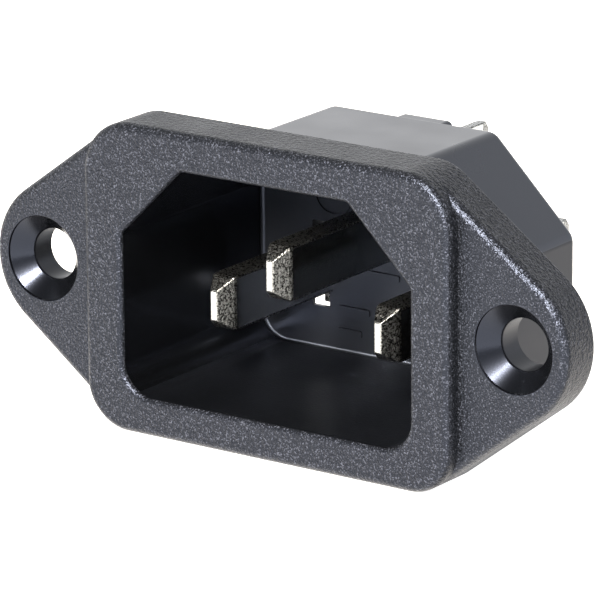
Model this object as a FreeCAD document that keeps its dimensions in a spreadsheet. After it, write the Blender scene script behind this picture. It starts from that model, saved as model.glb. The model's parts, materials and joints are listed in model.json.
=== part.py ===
"""C14 panel inlet socket: a screw-on appliance inlet with three flat pins.

Frame: millimetres. The origin lies midway between the two screw holes, on the back face of
the flange, which is the face that seats on the panel. -Y points out of the socket's mouth,
+Y into the equipment, +X to the right as the mouth is seen, and +Z up, to the earth pin's side.

Four pieces: one moulded housing, and three contacts, each of them one stamped piece that is a
pin in front of the socket's floor and a quick-connect tab behind it.
"""

import FreeCAD, Part
import math
import os

import Sketcher

Vec = FreeCAD.Vector

SIZES = [
    # alias, millimetres, what it measures
    ("hole_spacing", 40.0, "between the centres of the two screw holes"),
    ("screw_bore", 3.7, "diameter of the screw holes"),
    ("screw_head", 6.2, "diameter of the countersink at its mouth"),
    ("screw_head_step", 0.2, "straight wall above the countersink's cone"),
    ("ear_reach", 4.25, "ear's tip beyond the centre of its screw hole"),
    ("flange_thickness", 3.45, "flange from the panel seat to the front of the ears"),
    ("ear_radius", 5.8, "rounding of each ear's tip"),
    ("ear_edge_round", 0.6, "rounding of the flange's front edge"),
    ("collar_width", 31.1, "raised collar round the mouth"),
    ("collar_height", 22.6, "collar, top to bottom, and the flange with it"),
    ("collar_corner", 4.0, "corner radius of the collar"),
    ("collar_rise", 1.05, "collar's front face ahead of the ears"),
    ("collar_edge_round", 0.6, "rounding of the collar's front edge"),
    ("socket_width", 24.5, "inside width of the socket"),
    ("socket_height", 16.9, "inside height of the socket"),
    ("socket_depth", 17.0, "from the collar's front face to the floor"),
    ("socket_key", 5.2, "the two bevels that set the plug the right way up"),
    ("socket_key_round", 0.5, "rounding at the ends of each bevel"),
    ("socket_corner", 2.3, "rounding of the two lower corners"),
    ("mouth_round", 0.4, "rounding of the mouth's edge"),
    ("floor_round", 0.3, "rounding where the walls meet the floor"),
    ("floor_thickness", 1.9, "socket floor"),
    ("side_wall", 1.35, "the body's wall beside the socket"),
    ("top_wall", 0.95, "its wall above the socket, and below"),
    ("bevel_wall", 0.64, "its wall outside the socket's bevels"),
    ("body_key_round", 1.2, "rounding at the ends of those bevels"),
    ("body_corner", 3.2, "rounding of the body's lower corners"),
    ("body_edge_round", 0.6, "rounding of the body's rear edge"),
    ("boss_width", 4.4, "boss round the earth contact"),
    ("boss_rise", 1.7, "boss behind the body's rear face"),
    ("boss_above", 7.2, "top of the boss above the earth pin's centre"),
    ("boss_below", 3.1, "bottom of the boss below the earth pin's centre"),
    ("boss_round", 0.4, "rounding of the boss"),
    ("pin_spacing", 14.0, "between the line and neutral pins"),
    ("pin_drop", 2.1, "line and neutral pins below the screw holes' line"),
    ("earth_rise", 4.0, "earth pin above the line and neutral pins"),
    ("pin_height", 4.0, "flat pin's broad side"),
    ("pin_thickness", 2.0, "flat pin's narrow side"),
    ("pin_corner", 0.2, "rounding along the pin's edges"),
    ("nose_length", 1.3, "bevelled nose of a pin"),
    ("nose_height", 2.2, "flat end of the nose, broad side"),
    ("nose_thickness", 0.6, "flat end of the nose, narrow side"),
    ("line_inset", 3.9, "line and neutral noses behind the collar's front face"),
    ("earth_inset", 0.95, "earth nose behind the collar's front face"),
    ("tab_width", 6.3, "quick-connect tab"),
    ("tab_thickness", 0.8, "quick-connect tab's sheet"),
    ("tab_reach", 9.05, "tab tips behind the body's rear face"),
    ("tab_root", 0.9, "start of the tab inside the slot, ahead of the lugs"),
    ("tab_corner", 0.5, "bevelled corners of a tab's tip"),
    ("tab_hole", 1.8, "latch hole through a tab"),
    ("tab_hole_inset", 3.9, "latch hole's centre from the tab's tip"),
    ("earth_tab_rise", 2.25, "earth tab's centre above the earth pin's centre"),
    ("lug_spread", 3.2, "lugs swaged out of a contact behind its seat, side to side"),
    ("lug_height", 3.0, "those lugs, top to bottom"),
    ("lug_length", 0.8, "those lugs, along the contact"),
    ("slot_side_play", 0.35, "the floor's slot, past each face of the tab that goes through it"),
    ("slot_play", 0.05, "slot past each edge of the tab"),
    ("relief_width", 4.2, "relief behind the floor at the lower end of a slot"),
    ("relief_margin", 0.75, "relief past the end of the slot"),
    ("relief_web", 0.3, "floor left in front of the relief"),
]

# Sizes and places that follow from them, as expressions on the sheet.
FLANGE_WIDTH = "(Sizes.hole_spacing + 2 * Sizes.ear_reach)"
BODY_WIDTH = "(Sizes.socket_width + 2 * Sizes.side_wall)"
BODY_HEIGHT = "(Sizes.socket_height + 2 * Sizes.top_wall)"
BODY_KEY = "(Sizes.socket_key + Sizes.side_wall + Sizes.top_wall - sqrt(2) * Sizes.bevel_wall)"
COLLAR_FRONT = "(Sizes.flange_thickness + Sizes.collar_rise)"
FLOOR_FRONT = f"(Sizes.socket_depth - {COLLAR_FRONT})"
BODY_REAR = f"({FLOOR_FRONT} + Sizes.floor_thickness)"
BOSS_REAR = f"({BODY_REAR} + Sizes.boss_rise)"
TAB_TIP = f"({BODY_REAR} + Sizes.tab_reach)"
LINE_UP = "(-Sizes.pin_drop)"
EARTH_UP = "(Sizes.earth_rise - Sizes.pin_drop)"
LINE_ACROSS = "(Sizes.pin_spacing / 2)"
SLOT_WIDTH = "(Sizes.tab_thickness + 2 * Sizes.slot_side_play)"
SLOT_HEIGHT = "(Sizes.tab_width + 2 * Sizes.slot_play)"

PLANE_ROLES = {"XY": "XY_Plane", "XZ": "XZ_Plane", "YZ": "YZ_Plane"}
TOUCH = 1e-4        # how close counts as on a plane


# ---------------------------------------------------------------- the sheet and the sketches

def make_sheet(doc):
    """The driving dimensions, one row each: alias, number, meaning."""
    sheet = doc.addObject("Spreadsheet::Sheet", "Sizes")
    for row, (alias, value, meaning) in enumerate(SIZES, start=1):
        sheet.set(f"A{row}", alias)
        sheet.set(f"B{row}", repr(value))
        sheet.set(f"C{row}", meaning)
        sheet.setAlias(f"B{row}", alias)
    doc.recompute()
    return sheet


def value_of(sheet, expression):
    """The number that an expression on the sheet gives."""
    return float(sheet.evalExpression(expression.replace("Sizes.", "")))


def origin_plane(body, name):
    """One of the body's own origin planes, found by its role."""
    for feature in body.Origin.OriginFeatures:
        if feature.Role == PLANE_ROLES[name]:
            return feature
    raise ValueError(name)


def new_sketch(body, name, plane, offset=None):
    """A sketch on an origin plane, moved along that plane's normal by an expression.

    On XZ the sketch's x is +X, its y is +Z and its normal is -Y, so a plane at y = e has the
    offset -e. On YZ they are +Y, +Z and +X, and on XY they are +X, +Y and +Z.
    """
    sketch = body.newObject("Sketcher::SketchObject", name)
    sketch.AttachmentSupport = [(origin_plane(body, plane), "")]
    sketch.MapMode = "FlatFace"
    if offset is not None:
        sketch.setExpression("AttachmentOffset.Base.z", offset)
    return sketch


def bind(sketch, constraint, name, expression):
    """Adds a dimension to a sketch, names it and ties it to the sheet."""
    index = sketch.addConstraint(constraint)
    sketch.renameConstraint(index, name)
    sketch.setExpression(f"Constraints.{name}", expression)


def place(sketch, name, edge, point, across, up):
    """Ties a point of an edge (1 start, 2 end, 3 centre) to its place in the sketch."""
    where = sketch.getPoint(edge, point)
    bind(sketch, Sketcher.Constraint("DistanceX", -1, 1, edge, point, where.x), name + "_x", across)
    bind(sketch, Sketcher.Constraint("DistanceY", -1, 1, edge, point, where.y), name + "_y", up)


def add_outline(sketch, sheet, corners, name="p"):
    """A closed run of straight lines whose corners are pairs of expressions."""
    points = [Vec(value_of(sheet, x), value_of(sheet, y), 0) for x, y in corners]
    edges = []
    for start, end in zip(points, points[1:] + points[:1]):
        edges.append(sketch.addGeometry(Part.LineSegment(start, end), False))
    for edge, follower in zip(edges, edges[1:] + edges[:1]):
        sketch.addConstraint(Sketcher.Constraint("Coincident", edge, 2, follower, 1))
    for number, (edge, (x, y)) in enumerate(zip(edges, corners)):
        place(sketch, f"{name}{number}", edge, 1, x, y)


def add_box(sketch, sheet, width, height, across="0", up="0", name="p"):
    """A rectangle of the given width and height about a centre."""
    left, right = f"{across} - ({width}) / 2", f"{across} + ({width}) / 2"
    low, high = f"{up} - ({height}) / 2", f"{up} + ({height}) / 2"
    add_outline(sketch, sheet, [(left, low), (right, low), (right, high), (left, high)], name)


def add_circle(sketch, sheet, radius, across, up, name="c"):
    """A circle whose radius and centre are expressions."""
    centre = Vec(value_of(sheet, across), value_of(sheet, up), 0)
    edge = sketch.addGeometry(Part.Circle(centre, Vec(0, 0, 1), value_of(sheet, radius)), False)
    bind(sketch, Sketcher.Constraint("Radius", edge, value_of(sheet, radius)), name + "_radius", radius)
    place(sketch, name, edge, 3, across, up)


def add_rounded_outline(sketch, sheet, rounds):
    """The outline that a tight band takes round some circles, listed anticlockwise.

    Each round is (name, across, up, radius), the last three as expressions. The band leaves a
    circle of radius a for one of radius b, whose centre lies at the vector d, along the line
    that touches both. That line's outward normal stands at atan2(d) - acos((a - b) / |d|).
    """
    circles = [(value_of(sheet, x), value_of(sheet, y), value_of(sheet, r)) for _, x, y, r in rounds]
    leave = []
    for (x1, y1, r1), (x2, y2, r2) in zip(circles, circles[1:] + circles[:1]):
        run = math.hypot(x2 - x1, y2 - y1)
        leave.append(math.atan2(y2 - y1, x2 - x1) - math.acos((r1 - r2) / run))
    arrive = leave[-1:] + leave[:-1]
    arcs = []
    for (x, y, radius), first, last in zip(circles, arrive, leave):
        turn = (last - first) % (2 * math.pi)
        circle = Part.Circle(Vec(x, y, 0), Vec(0, 0, 1), radius)
        arcs.append(sketch.addGeometry(Part.ArcOfCircle(circle, first, first + turn), False))
    for arc, follower in zip(arcs, arcs[1:] + arcs[:1]):
        line = Part.LineSegment(sketch.getPoint(arc, 2), sketch.getPoint(follower, 1))
        number = sketch.addGeometry(line, False)
        sketch.addConstraint(Sketcher.Constraint("Tangent", arc, 2, number, 1))
        sketch.addConstraint(Sketcher.Constraint("Tangent", number, 2, follower, 1))
    for arc, (name, across, up, radius) in zip(arcs, rounds):
        place(sketch, name, arc, 3, across, up)
        size = Sketcher.Constraint("Radius", arc, sketch.Geometry[arc].Radius)
        bind(sketch, size, name + "_radius", radius)


def corner_rounds(width, height, radius):
    """The four rounds of a rounded rectangle about the origin."""
    across, up = f"(({width}) / 2 - {radius})", f"(({height}) / 2 - {radius})"
    return [
        ("low_right", across, f"-{up}", radius),
        ("top_right", across, up, radius),
        ("top_left", f"-{across}", up, radius),
        ("low_left", f"-{across}", f"-{up}", radius),
    ]


def keyed_rounds(width, height, key, key_radius, corner_radius):
    """The six rounds of a rectangle whose two upper corners are bevelled at 45 degrees.

    A round of radius k in the corner between a side and the bevel has its centre k inside the
    side and k * (sqrt(2) - 1) further along it than the bevel's end.
    """
    low_right, _, _, low_left = corner_rounds(width, height, corner_radius)
    side, top = f"(({width}) / 2)", f"(({height}) / 2)"
    slip = f"({key} + {key_radius} * (sqrt(2) - 1))"
    bevel_low = (f"({side} - {key_radius})", f"({top} - {slip})")
    bevel_high = (f"({side} - {slip})", f"({top} - {key_radius})")
    return [
        low_right,
        ("bevel_low_right", bevel_low[0], bevel_low[1], key_radius),
        ("bevel_high_right", bevel_high[0], bevel_high[1], key_radius),
        ("bevel_high_left", f"-{bevel_high[0]}", bevel_high[1], key_radius),
        ("bevel_low_left", f"-{bevel_low[0]}", bevel_low[1], key_radius),
        low_left,
    ]


# ---------------------------------------------------------------- features

def pad(body, sketch, name, length, backwards=False, midplane=False):
    """Pads a sketch along its normal, or against it, by an expression."""
    feature = body.newObject("PartDesign::Pad", name)
    feature.Profile = sketch
    feature.Reversed = backwards
    feature.Midplane = midplane
    feature.setExpression("Length", length)
    return feature


def pocket(body, sketch, name, length, forwards=False, midplane=False):
    """Cuts a sketch's shape against its normal, or along it, by an expression."""
    feature = body.newObject("PartDesign::Pocket", name)
    feature.Profile = sketch
    feature.Reversed = forwards
    feature.Midplane = midplane
    feature.setExpression("Length", length)
    return feature


def round_edges(doc, body, name, radius, wanted):
    """Rounds each edge of the body's newest shape for which wanted(edge) holds."""
    doc.recompute()
    base = body.Tip
    names = [f"Edge{i}" for i, edge in enumerate(base.Shape.Edges, start=1) if wanted(edge)]
    if not names:
        raise RuntimeError(f"{name}: no edge to round")
    feature = body.newObject("PartDesign::Fillet", name)
    feature.Base = (base, names)
    feature.setExpression("Radius", radius)
    return feature


def points_along(edge):
    """Five points spread along an edge."""
    first, last = edge.ParameterRange
    return [edge.valueAt(first + (last - first) * k / 4) for k in range(5)]


def lies_at(edge, y):
    """True for an edge in the plane at that y."""
    return all(abs(p.y - y) < TOUCH for p in points_along(edge))


def stays_within(edge, side, top):
    """True for an edge that stays within that |x| and |z|."""
    return all(abs(p.x) < side + TOUCH and abs(p.z) < top + TOUCH for p in points_along(edge))


# ---------------------------------------------------------------- the housing

def add_flange(doc, sheet, body):
    """The flange's plate: four collar corners and two ear tips, joined by straight edges."""
    low_right, top_right, top_left, low_left = corner_rounds(
        "Sizes.collar_width", "Sizes.collar_height", "Sizes.collar_corner")
    tip = f"({FLANGE_WIDTH} / 2 - Sizes.ear_radius)"
    right_tip = ("right_tip", tip, "0", "Sizes.ear_radius")
    left_tip = ("left_tip", f"-{tip}", "0", "Sizes.ear_radius")
    outline = new_sketch(body, "FlangeOutline", "XZ")
    add_rounded_outline(outline, sheet, [right_tip, top_right, top_left, left_tip, low_left, low_right])
    pad(body, outline, "Flange", "Sizes.flange_thickness")
    ears_y = -value_of(sheet, "Sizes.flange_thickness")
    round_edges(doc, body, "FlangeEdge", "Sizes.ear_edge_round", lambda edge: lies_at(edge, ears_y))


def add_collar(doc, sheet, body):
    """The collar stands on the panel seat's plane and passes through the flange."""
    outline = new_sketch(body, "CollarOutline", "XZ")
    rounds = corner_rounds("Sizes.collar_width", "Sizes.collar_height", "Sizes.collar_corner")
    add_rounded_outline(outline, sheet, rounds)
    pad(body, outline, "Collar", COLLAR_FRONT)
    front_y = -value_of(sheet, COLLAR_FRONT)
    round_edges(doc, body, "CollarEdge", "Sizes.collar_edge_round", lambda edge: lies_at(edge, front_y))


def add_body(doc, sheet, body):
    """The bevelled box behind the panel."""
    outline = new_sketch(body, "BodyOutline", "XZ")
    rounds = keyed_rounds(BODY_WIDTH, BODY_HEIGHT, BODY_KEY,
                          "Sizes.body_key_round", "Sizes.body_corner")
    add_rounded_outline(outline, sheet, rounds)
    pad(body, outline, "Body", BODY_REAR, backwards=True)
    rear_y = value_of(sheet, BODY_REAR)
    round_edges(doc, body, "BodyEdge", "Sizes.body_edge_round", lambda edge: lies_at(edge, rear_y))


def add_boss(doc, sheet, body):
    """The earth contact's boss, rooted as deep as the body's rear edge is rounded."""
    root = f"({BODY_REAR} - Sizes.body_edge_round)"
    height = "(Sizes.boss_above + Sizes.boss_below)"
    middle = f"({EARTH_UP} + (Sizes.boss_above - Sizes.boss_below) / 2)"
    outline = new_sketch(body, "BossOutline", "XZ", f"-{root}")
    add_box(outline, sheet, "Sizes.boss_width", height, "0", middle)
    pad(body, outline, "Boss", "Sizes.boss_rise + Sizes.body_edge_round", backwards=True)
    boss_y = value_of(sheet, BOSS_REAR)
    round_edges(doc, body, "BossEdge", "Sizes.boss_round", lambda edge: lies_at(edge, boss_y))


def cut_socket(doc, sheet, body):
    """The socket, keyed by its two bevels, with its mouth and its floor's edge rounded."""
    outline = new_sketch(body, "SocketOutline", "XZ", COLLAR_FRONT)
    rounds = keyed_rounds("Sizes.socket_width", "Sizes.socket_height", "Sizes.socket_key",
                          "Sizes.socket_key_round", "Sizes.socket_corner")
    add_rounded_outline(outline, sheet, rounds)
    pocket(body, outline, "Socket", "Sizes.socket_depth")
    side, top = value_of(sheet, "Sizes.socket_width / 2"), value_of(sheet, "Sizes.socket_height / 2")
    for name, radius, place_y in (
        ("FloorEdge", "Sizes.floor_round", value_of(sheet, FLOOR_FRONT)),
        ("MouthEdge", "Sizes.mouth_round", -value_of(sheet, COLLAR_FRONT)),
    ):
        round_edges(doc, body, name, radius,
                    lambda edge: lies_at(edge, place_y) and stays_within(edge, side, top))


def cut_screw_holes(doc, sheet, body):
    """One countersunk hole, turned about its own axis, and its mirror image."""
    centre = "(Sizes.hole_spacing / 2)"
    bore, head = f"({centre} + Sizes.screw_bore / 2)", f"({centre} + Sizes.screw_head / 2)"
    front = "(-Sizes.flange_thickness)"
    cone_top = f"({front} + Sizes.screw_head_step)"
    cone_foot = f"({cone_top} + (Sizes.screw_head - Sizes.screw_bore) / 2)"
    profile = new_sketch(body, "ScrewHoleProfile", "XY")
    add_outline(profile, sheet, [
        (centre, f"2 * {front}"),
        (head, f"2 * {front}"),
        (head, cone_top),
        (bore, cone_foot),
        (bore, "Sizes.flange_thickness"),
        (centre, "Sizes.flange_thickness"),
    ])
    x = value_of(sheet, centre)
    axis = profile.addGeometry(Part.LineSegment(Vec(x, -1, 0), Vec(x, 1, 0)), True)
    profile.addConstraint(Sketcher.Constraint("PointOnObject", 0, 1, axis))
    profile.addConstraint(Sketcher.Constraint("Vertical", axis))
    hole = body.newObject("PartDesign::Groove", "ScrewHole")
    hole.Profile = profile
    hole.ReferenceAxis = (profile, ["Axis0"])
    doc.recompute()
    other = body.newObject("PartDesign::Mirrored", "OtherScrewHole")
    other.Originals = [hole]
    other.MirrorPlane = (origin_plane(body, "YZ"), [""])
    body.Tip = other


def cut_contact_slot(sheet, body, name, across, up, tab_up, depth):
    """A window that grips the shank of a contact, crossed by the slot that passes its tab."""
    for kind, width, height, middle in (
        ("Grip", "Sizes.pin_thickness", "Sizes.pin_height", up),
        ("TabSlot", SLOT_WIDTH, SLOT_HEIGHT, tab_up),
    ):
        outline = new_sketch(body, name + kind + "Outline", "XZ", f"-{FLOOR_FRONT}")
        add_box(outline, sheet, width, height, across, middle)
        pocket(body, outline, name + kind, depth)


def cut_relief(sheet, body, name, across, up):
    """A shallow pocket behind the floor, over the lower end of a slot."""
    near, far = "(Sizes.pin_height / 2)", f"({SLOT_HEIGHT} / 2 + Sizes.relief_margin)"
    outline = new_sketch(body, name + "ReliefOutline", "XZ", f"-{BODY_REAR}")
    height, middle = f"({far} - {near})", f"({up} - ({near} + {far}) / 2)"
    add_box(outline, sheet, "Sizes.relief_width", height, across, middle)
    pocket(body, outline, name + "Relief", "Sizes.floor_thickness - Sizes.relief_web", forwards=True)


def make_housing(doc, sheet):
    """One moulding: flange, collar, body and boss, then the socket and the holes cut in it."""
    body = doc.addObject("PartDesign::Body", "Housing")
    body.Label = "housing"
    add_flange(doc, sheet, body)
    add_collar(doc, sheet, body)
    add_body(doc, sheet, body)
    add_boss(doc, sheet, body)
    cut_socket(doc, sheet, body)
    cut_screw_holes(doc, sheet, body)
    for name, across in (("Line", f"-{LINE_ACROSS}"), ("Neutral", LINE_ACROSS)):
        cut_contact_slot(sheet, body, name, across, LINE_UP, LINE_UP, "Sizes.floor_thickness")
        cut_relief(sheet, body, name, across, LINE_UP)
    earth_tab_up = f"({EARTH_UP} + Sizes.earth_tab_rise)"
    cut_contact_slot(sheet, body, "Earth", "0", EARTH_UP, earth_tab_up,
                     "Sizes.floor_thickness + Sizes.boss_rise")
    doc.recompute()
    return body


# ---------------------------------------------------------------- the contacts

def make_contact(doc, sheet, label, across, up, inset, seat, tab_rise):
    """A pin with a bevelled nose, its shank, the lugs that lock it, and its tab.

    It is drawn about the pin's own axis and placed by across and up. inset is how far the nose
    lies behind the collar's front face, seat is the y of the face that the lugs bear on, and
    tab_rise lifts the tab above the pin. The tab begins inside the floor's slot.
    """
    body = doc.addObject("PartDesign::Body", "".join(word.title() for word in label.split("_")))
    body.Label = label
    body.setExpression("Placement.Base.x", across)
    body.setExpression("Placement.Base.z", up)
    nose_front = f"({COLLAR_FRONT} - {inset})"
    nose_back = f"({nose_front} - Sizes.nose_length)"

    flat = new_sketch(body, label + "_nose_flat", "XZ", nose_front)
    small = f"(Sizes.pin_corner * Sizes.nose_thickness / Sizes.pin_thickness)"
    add_rounded_outline(flat, sheet, corner_rounds("Sizes.nose_thickness", "Sizes.nose_height", small))
    section = new_sketch(body, label + "_section", "XZ", nose_back)
    full = corner_rounds("Sizes.pin_thickness", "Sizes.pin_height", "Sizes.pin_corner")
    add_rounded_outline(section, sheet, full)
    nose = body.newObject("PartDesign::AdditiveLoft", label + "_nose")
    nose.Profile = flat
    nose.Sections = [section]
    nose.Ruled = True
    doc.recompute()

    shank = new_sketch(body, label + "_shank_section", "XZ", nose_back)
    add_rounded_outline(shank, sheet, full)
    pad(body, shank, label + "_shank", f"{nose_back} + {seat} + Sizes.lug_length", backwards=True)

    lugs = new_sketch(body, label + "_lug_outline", "XZ", f"-{seat}")
    add_box(lugs, sheet, "Sizes.lug_spread", "Sizes.lug_height")
    pad(body, lugs, label + "_lugs", "Sizes.lug_length", backwards=True)

    low, high = f"({tab_rise} - Sizes.tab_width / 2)", f"({tab_rise} + Sizes.tab_width / 2)"
    root = f"({seat} - Sizes.tab_root)"
    tab = new_sketch(body, label + "_tab_outline", "YZ")
    add_outline(tab, sheet, [
        (root, low),
        (f"{TAB_TIP} - Sizes.tab_corner", low),
        (TAB_TIP, f"{low} + Sizes.tab_corner"),
        (TAB_TIP, f"{high} - Sizes.tab_corner"),
        (f"{TAB_TIP} - Sizes.tab_corner", high),
        (root, high),
    ])
    pad(body, tab, label + "_tab", "Sizes.tab_thickness", midplane=True)

    hole = new_sketch(body, label + "_latch_circle", "YZ")
    add_circle(hole, sheet, "Sizes.tab_hole / 2", f"({TAB_TIP} - Sizes.tab_hole_inset)", tab_rise)
    pocket(body, hole, label + "_latch_hole", "Sizes.pin_thickness", midplane=True)
    doc.recompute()
    return body


# ---------------------------------------------------------------- build, check and write

def check(doc, pieces):
    """Stops if anything in the document failed or a piece isn't one valid solid."""
    for feature in doc.Objects:
        if "Invalid" in feature.State or "Error" in feature.State:
            raise RuntimeError(f"{feature.Name} failed: {feature.State}")
        if feature.TypeId == "Sketcher::SketchObject" and feature.solve() != 0:
            raise RuntimeError(f"{feature.Name} has no solution")
    for piece in pieces:
        shape = piece.Shape
        if shape.isNull() or not shape.isValid() or len(shape.Solids) != 1:
            raise RuntimeError(f"{piece.Label} isn't one valid solid")


def write(pieces):
    """One STEP file a piece, under the piece's own name."""
    os.makedirs("parts", exist_ok=True)
    for piece in pieces:
        piece.Shape.exportStep(f"parts/{piece.Label}.step")
        print(f"{piece.Label}: {piece.Shape.Volume:.1f} mm3, {len(piece.Shape.Faces)} faces")


doc = FreeCAD.newDocument("PanelInlet")
sheet = make_sheet(doc)
pieces = [
    make_housing(doc, sheet),
    make_contact(doc, sheet, "line_contact", f"-{LINE_ACROSS}", LINE_UP,
                 "Sizes.line_inset", BODY_REAR, "0"),
    make_contact(doc, sheet, "neutral_contact", LINE_ACROSS, LINE_UP,
                 "Sizes.line_inset", BODY_REAR, "0"),
    make_contact(doc, sheet, "earth_contact", "0", EARTH_UP,
                 "Sizes.earth_inset", BOSS_REAR, "Sizes.earth_tab_rise"),
]
doc.recompute()
check(doc, pieces)
write(pieces)
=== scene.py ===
# %% [markdown]
# # Dressing a C14 panel inlet socket
#
# The real object is four pieces: one black nylon moulding and three nickel-plated contacts that
# are pressed through its floor. The engineering model already fixes every size, so this lesson
# is about surfaces: how the moulding's rounds catch the light, how the spark-eroded grain of the
# mould shows on the flange, and how plated metal looks beside dull plastic.
#
# We start by loading the engineering model. It is the frame that everything is worked out from.

# %% Load the frame
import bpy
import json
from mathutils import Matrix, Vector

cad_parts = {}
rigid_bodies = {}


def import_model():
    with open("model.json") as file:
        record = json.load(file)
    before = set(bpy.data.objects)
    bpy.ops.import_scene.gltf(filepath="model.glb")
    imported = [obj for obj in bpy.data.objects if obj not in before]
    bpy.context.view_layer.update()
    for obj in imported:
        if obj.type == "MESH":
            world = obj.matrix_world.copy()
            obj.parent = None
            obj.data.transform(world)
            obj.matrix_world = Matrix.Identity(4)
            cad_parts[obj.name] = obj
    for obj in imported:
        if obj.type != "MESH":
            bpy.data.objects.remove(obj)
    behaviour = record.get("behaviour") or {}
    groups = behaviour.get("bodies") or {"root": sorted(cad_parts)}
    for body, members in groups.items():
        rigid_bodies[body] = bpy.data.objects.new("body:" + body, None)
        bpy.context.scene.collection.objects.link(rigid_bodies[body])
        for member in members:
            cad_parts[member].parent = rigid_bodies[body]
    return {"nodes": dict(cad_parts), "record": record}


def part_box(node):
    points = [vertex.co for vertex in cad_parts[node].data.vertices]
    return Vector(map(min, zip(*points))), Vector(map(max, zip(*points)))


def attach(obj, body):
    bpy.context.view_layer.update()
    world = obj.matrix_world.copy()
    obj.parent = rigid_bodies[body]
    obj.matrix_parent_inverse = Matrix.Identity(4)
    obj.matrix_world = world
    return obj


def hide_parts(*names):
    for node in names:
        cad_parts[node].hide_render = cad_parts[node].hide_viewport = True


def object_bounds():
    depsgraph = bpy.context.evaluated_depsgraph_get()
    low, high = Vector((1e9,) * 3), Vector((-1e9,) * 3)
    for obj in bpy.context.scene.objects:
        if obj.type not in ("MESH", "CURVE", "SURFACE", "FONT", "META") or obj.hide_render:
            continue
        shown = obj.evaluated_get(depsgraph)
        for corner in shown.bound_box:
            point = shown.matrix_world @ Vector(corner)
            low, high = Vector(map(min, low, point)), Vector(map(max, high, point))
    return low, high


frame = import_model()        # bodies, nodes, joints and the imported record
cad_low, cad_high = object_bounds()
print("nodes:", sorted(frame["nodes"]), "box:", tuple(cad_low), tuple(cad_high))

# %% The tools that the lesson uses
import json
import math

import bpy
import numpy as np
from mathutils import Matrix, Vector

# %% [markdown]
# ## The driving sizes
#
# The model is in metres, but a moulding is easier to think about in millimetres, so the shapes
# are drawn in millimetres and each finished mesh is brought to metres in its vertices. What the
# frame knows, such as where the flange ends or how far apart the screws are, is read from it.
# The rest are the sizes of single features. Those that several pieces share stand here, and the
# others stand with their own piece. A size called SIDE or TOP is measured from the middle.
#
# X runs across the flange, Z is up, and -Y points out of the socket's mouth. The panel's face is
# at y = 0.

# %% Read what the frame knows
MM = 0.001
housing_low, housing_high = (np.array(corner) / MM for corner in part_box("housing"))
earth_low, earth_high = (np.array(corner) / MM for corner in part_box("earth_contact"))
line_low, line_high = (np.array(corner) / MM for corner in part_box("line_contact"))
screws = next(m for m in frame["record"]["mounts"] if m["name"] == "panel_screws")
HOLE_X = screws["dims"]["spacing_x_mm"] / 2
BORE_R = screws["dims"]["hole_r_mm"]
EAR_END, TOP = housing_high[0], housing_high[2]
COLLAR_FRONT, BOSS_REAR = housing_low[1], housing_high[1]
print(f"ear end {EAR_END:.2f}, top {TOP:.2f}, front {COLLAR_FRONT:.2f}, boss {BOSS_REAR:.2f} mm")

# %% Sizes that several pieces share, in millimetres
COLLAR_PROUD, SOCKET_DEEP, FLOOR_THICK = 1.05, 17.0, 1.9
EAR_FACE = COLLAR_FRONT + COLLAR_PROUD
SOCKET_FLOOR = COLLAR_FRONT + SOCKET_DEEP
BODY_REAR = SOCKET_FLOOR + FLOOR_THICK
SOCKET_SIDE, SOCKET_TOP = 12.25, 8.45
PIN_SIDE, PIN_TOP, TAB_TOP = 1.0, 2.0, 3.15
ROOT = 0.5                           # how far a joined piece reaches into its neighbour
PAST = 1.0                           # how far a cutter runs past what it cuts
print(f"ears at {EAR_FACE:.2f}, socket's floor at {SOCKET_FLOOR:.2f}, body's rear at "
      f"{BODY_REAR:.2f} mm")

# %% [markdown]
# ## Outlines as tight bands
#
# Every section of this moulding is a polygon with round corners. A simple way to think of one is
# a tight band round a few discs: arcs where it lies on a disc, straight where it leaves one disc
# for the next. It has a handy property. Each point is *disc centre + radius x outward normal*,
# so the same outline moved inwards by d is *centre + (radius - d) x normal*, with as many points
# in the same order. Rounded edges are then only a matter of stacking such rings.
#
# Blender could round edges with a Bevel modifier, but on a part that is joined and cut many
# times the bevels break up where edges meet. Rings that we work out stay exact.

# %% The band
ARC_STEP = math.radians(3)
WHOLE_STEPS = np.arange(-240, 360) * ARC_STEP      # from two turns below zero to three above
ANGLE_DECIMALS = 9                                 # angles that agree to this are the same


def band(discs, shared=()):
    """A closed outline, as a tight band lies round discs (x, z, radius) listed anticlockwise.

    The band leaves a disc along the line that touches it and the next. That line's outward
    normal stands at the angle of the step between the centres, less the arc cosine of the
    difference of the radii over the step's length. Between arriving and leaving, the normal
    turns in whole multiples of ARC_STEP, and also stops at the angles in shared, so that
    outlines with a disc in common have its points in common.
    Returns centres (n, 2), radii (n,), normals (n, 2) and the leaving angles.
    """
    x, z, radius = np.array(discs, float).T
    step_x, step_z = np.roll(x, -1) - x, np.roll(z, -1) - z
    lean = np.arccos((radius - np.roll(radius, -1)) / np.hypot(step_x, step_z))
    leave = np.arctan2(step_z, step_x) - lean
    arrive = np.roll(leave, 1)
    leave = arrive + (leave - arrive) % (2 * math.pi)
    stops = np.concatenate([WHOLE_STEPS, np.ravel(shared)])
    turns = [np.unique(np.round([a, *stops[(stops > a) & (stops < b)], b], ANGLE_DECIMALS))
             for a, b in zip(arrive, leave)]
    disc = np.repeat(np.arange(len(turns)), [len(turn) for turn in turns])
    angle = np.concatenate(turns)
    normal = np.stack([np.cos(angle), np.sin(angle)], axis=1)
    return np.stack([x, z], axis=1)[disc], radius[disc], normal, leave


# %% Discs to lay it round, and rounded edges
def corners(side, top, radius):
    """The four discs of a rounded rectangle about the origin, anticlockwise from low right.

    Each centre lies one radius inside both of its sides.
    """
    across, up = side - radius, top - radius
    return [(across, -up, radius), (across, up, radius),
            (-across, up, radius), (-across, -up, radius)]


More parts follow.
